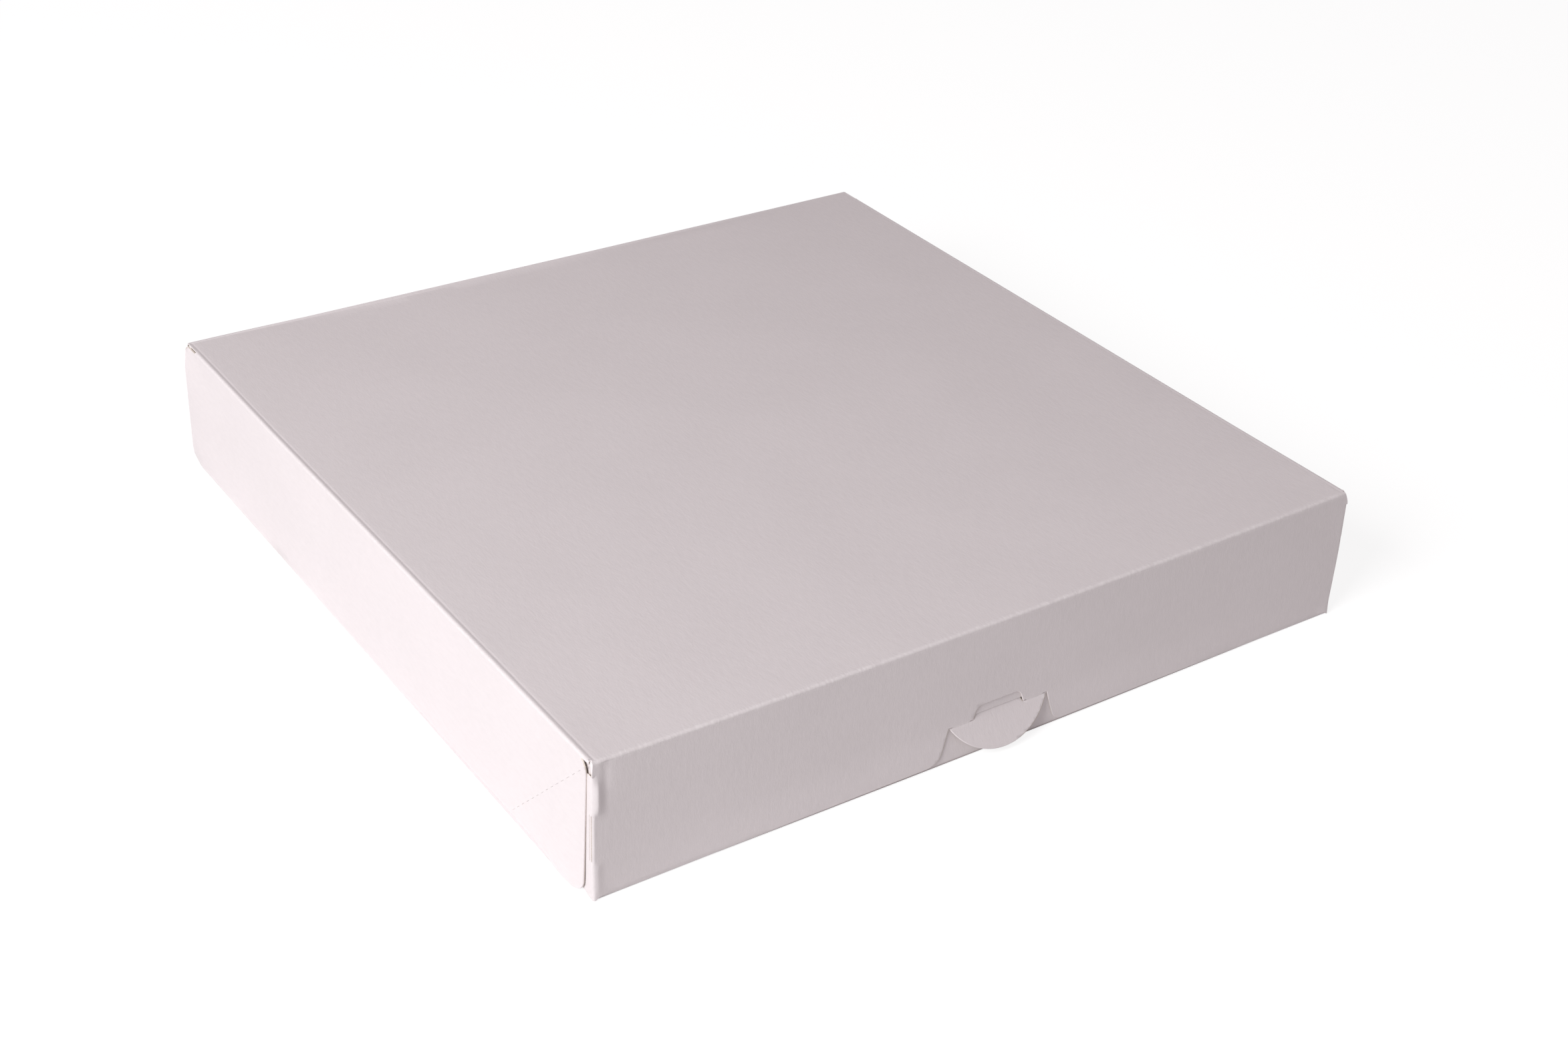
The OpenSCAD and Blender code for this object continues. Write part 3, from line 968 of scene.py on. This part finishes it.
def tray_outline():
    """Outline of the tray's blank"""
    def corner(place, top, fold_q):
        run = TRAY_CORNER + ARC

        def glue(depth, z):
            return (run + depth - FOLD_R, place(0, z)[1])

        return [
            place(TRAY_CORNER, top), (run, place(0, top)[1]),
            glue(GLUE_TAB_W, TAB_TOP), glue(GLUE_TAB_W, GLUE_TAB_W + DASH_MARGIN),
            glue(FOLD_R, FOLD_R + DASH_MARGIN), (TRAY_CORNER, place(0, CORNER_FOOT)[1]),
            (TRAY_CORNER, fold_q),
        ]

    front = corner(tray_front, WALL_TOP, -TRAY_FOLD_FRONT)
    back = corner(tray_back, BACK_TOP, TRAY_FOLD_BACK)
    side = [
        (TRAY_CORNER, TRAY_END_FRONT), (TRAY_FOLD_X, TRAY_END_FRONT),
        tray_side(TRAY_END_FRONT, WALL_TOP), tray_side(TRAY_END_BACK, WALL_TOP),
        (TRAY_FOLD_X, TRAY_END_BACK), (TRAY_CORNER, TRAY_END_BACK),
    ]
    right = front + side + back[::-1]
    return right + mirrored(right)


def tray_patches():
    """Bands of the tray's blank: no two share a row"""
    low_x = TRAY_FOLD_X + ARC
    low_front = TRAY_FOLD_FRONT + TRAY_FRONT_MID * math.pi / 2
    low_back = TRAY_FOLD_BACK + ARC
    fold_x = spaced((TRAY_FOLD_X, low_x, ARC / 6))
    fold_front = -spaced((TRAY_FOLD_FRONT, low_front, TRAY_FRONT_MID / 4),
                         (low_front, low_front + 2, 0.5))
    fold_back = spaced((TRAY_FOLD_BACK, low_back, ARC / 6))
    tab = spaced((TRAY_CORNER, TRAY_CORNER + ARC, ARC / 6))
    across = both_ways(spaced((0, 145, 4)))
    deep = both_ways(spaced((0, 26, 1.6), (26, 144, 5)))
    wall = spaced((low_x + 3, 196, 5))
    front_q = -spaced((low_front + 4, 196.6, 2.5))
    back_q = spaced((low_back + 3, 197, 3.5))
    panels = [
        (both_ways(spaced((0, 143, 7))), spaced((-145, 145, 7))),
        (both_ways(spaced((0, 146, 2))), fold_front), (across, fold_back),
        (deep, front_q), (across, back_q),
    ]
    sides = [(fold_x, spaced((-145, 145, 3))), (wall, spaced((-146, 147, 5)))]
    for rows in (front_q, back_q, fold_front, fold_back):
        sides.append((tab, rows))
    for rows in (front_q, back_q):
        sides.append((spaced((TRAY_CORNER + ARC + 2.5, 169.4, 4)), rows))
    return panels + sides + [(-columns, rows) for columns, rows in sides]


def tray_tweak(p, q, skins):
    """The front wall stands close behind the lid's, and the slit's lip slopes with the tongue"""
    for skin, slope in zip(skins, (0, 1, 0.5)):
        x, y, z = skin.T.copy()
        wall = y < -148
        fade = np.clip((20 - z) / (20 - SLIT_HIGH), 0, 1) * (z > SLIT_HIGH - 0.1)
        fade = fade * (np.abs(x) < SLIT_HALF + 0.05)
        skin[:, 2] += np.where(wall, slope * SLIT_SLOPE * fade, 0)
        close = 0.14 * smooth((146 - np.abs(x)) / 8) * smooth(z / 2) * smooth((46 - z) / 20)
        skin[:, 1] -= np.where(wall, close, 0)


def tray_crush(p, q):
    """No crush where the back wall's sheet goes on as the crease"""
    return np.where(q > tray_back(0, BACK_TOP)[1] - 0.01, 0.0, 1.0)


def tray_painted_shade(p, q):
    """Painted shade along the sharp front fold, for the dark gap under the lid's lower edge"""
    mid = TRAY_FOLD_FRONT + TRAY_FRONT_MID * math.pi / 4
    return 0.75 * np.exp(-((q + mid) / 0.62) ** 4)


def make_tray():
    slit = [
        tray_front(-SLIT_HALF, SLIT_LOW), tray_front(-SLIT_HALF, SLIT_HIGH),
        tray_front(SLIT_HALF, SLIT_HIGH), tray_front(SLIT_HALF, SLIT_LOW),
    ]
    holes = []
    for y, sy in ((TRAY_FRONT_Y, 1), (HALF_D, -1)):
        holes += dashes(y, 0, sy, 1, WALL_TOP, tray_side)
    loops = [tray_outline(), slit] + holes + [mirrored(hole) for hole in holes]
    tray = make_sheet("tray_sheet", loops, tray_patches(), fold_tray,
                      tweak=tray_tweak, crush=tray_crush, painted_shade=tray_painted_shade)
    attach(tray, "tray")
    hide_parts("tray")


# Lock tab

def tongue_path():
    """Right half of the tongue's end, above the tab's axis"""
    r = TONGUE_R
    cz = TONGUE_H - r
    cx = TONGUE_HALF - cz * math.tan(TONGUE_LEAN) - r / math.cos(TONGUE_LEAN)
    return arc(cx, cz, r, math.degrees(TONGUE_LEAN), 90)


def make_lock_tab():
    """Half-round tab and tongue: one flat plate that leans out of the front panel"""
    radius = (TAB_HALF ** 2 + TAB_DROP ** 2) / (2 * TAB_DROP)
    rise = radius - TAB_DROP
    reach = math.degrees(math.asin(TAB_HALF / radius))
    bow = arc(0, rise, radius, -90, reach - 90, 24)
    right = bow + [(TAB_HALF - 0.05, 0.02), (TONGUE_HALF + 0.05, 0.02)] + tongue_path()
    outline = right + mirrored(right)
    place_q = lid_front(0, LOCK_Z)[1]

    def lean(p, q, n):
        """Rest place of the plate, tilted about the tab's axis"""
        along = q - place_q
        y = LOCK_Y + along * math.sin(TAB_TILT) - n * math.cos(TAB_TILT)
        z = LOCK_Z + along * math.cos(TAB_TILT) + n * math.sin(TAB_TILT)
        return np.stack([p, y, z], -1)

    def stand(p, q, skins):
        """The tab doesn't bow with the panel, and stands out a little further"""
        for skin in skins:
            below = np.maximum(place_q - q, 0)
            skin[:, 1] += bulge_at(*skin.T) - TAB_MORE * below

    loops = [[(x, place_q + z) for x, z in outline]]
    grid = (both_ways(spaced((0, 20, 1.5))), spaced((place_q - 12.3, place_q + 4.8, 1.2)))
    tab = make_sheet("lock_tab_sheet", loops, [grid], lean, tweak=stand,
                     crease=lambda p, q: 0.8 * on_tab_hinge(p, q),
                     crush=lambda p, q: np.where(on_tab_hinge(p, q), 0.25, 1.0))
    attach(tab, "lock_tab")
    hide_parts("lock_tab")


# Crease strip along the back edge, from the tray's back wall to the lid's top

def make_crease():
    """The board's fold over the back edge, from the tray's back wall to the lid's top"""
    half = LID_PANEL_X - 0.1
    wall_len = BOX_H - FOLD_R - BACK_TOP
    start_q = -(ARC + wall_len)
    end_q = HALF_D - FOLD_R - LID_REAR

    def over(p, q, n):
        """Rest place: q is 0 where the top's flat strip ends and the fold starts"""
        down = np.maximum(-q, 0)
        turn = np.clip(down / FOLD_MID, 0, math.pi / 2)
        past = np.maximum(down - ARC, 0)
        y = HALF_D - FOLD_R - np.maximum(q, 0) + (FOLD_MID + n) * np.sin(turn)
        z = BOX_H - FOLD_R + (FOLD_MID + n) * np.cos(turn) - past
        return np.stack([p, y, z], -1)

    outline = [(-half, start_q), (half, start_q), (half, end_q), (-half, end_q)]
    grid = (both_ways(spaced((0, half - 0.3, 2.5))),
            spaced((start_q, -ARC, 0.25), (-ARC, 0, ARC / 10), (0, end_q, 0.25)))
    strip = make_sheet("hinge_crease", [outline], [grid], over,
                       crease=lambda p, q: np.exp(-((q + ARC / 2) / 0.9) ** 4),
                       crush=lambda p, q: (q > start_q + 0.01) & (q < end_q - 0.01))
    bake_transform(strip)


make_camera()
make_floor_plane()
make_world()
make_lamp("key", KEY_PLACE, KEY_TARGET, KEY_SIZE, KEY_WATTS)
make_lid()
make_tray()
make_lock_tab()
make_crease()

bpy.context.scene.view_settings.view_transform = "Standard"
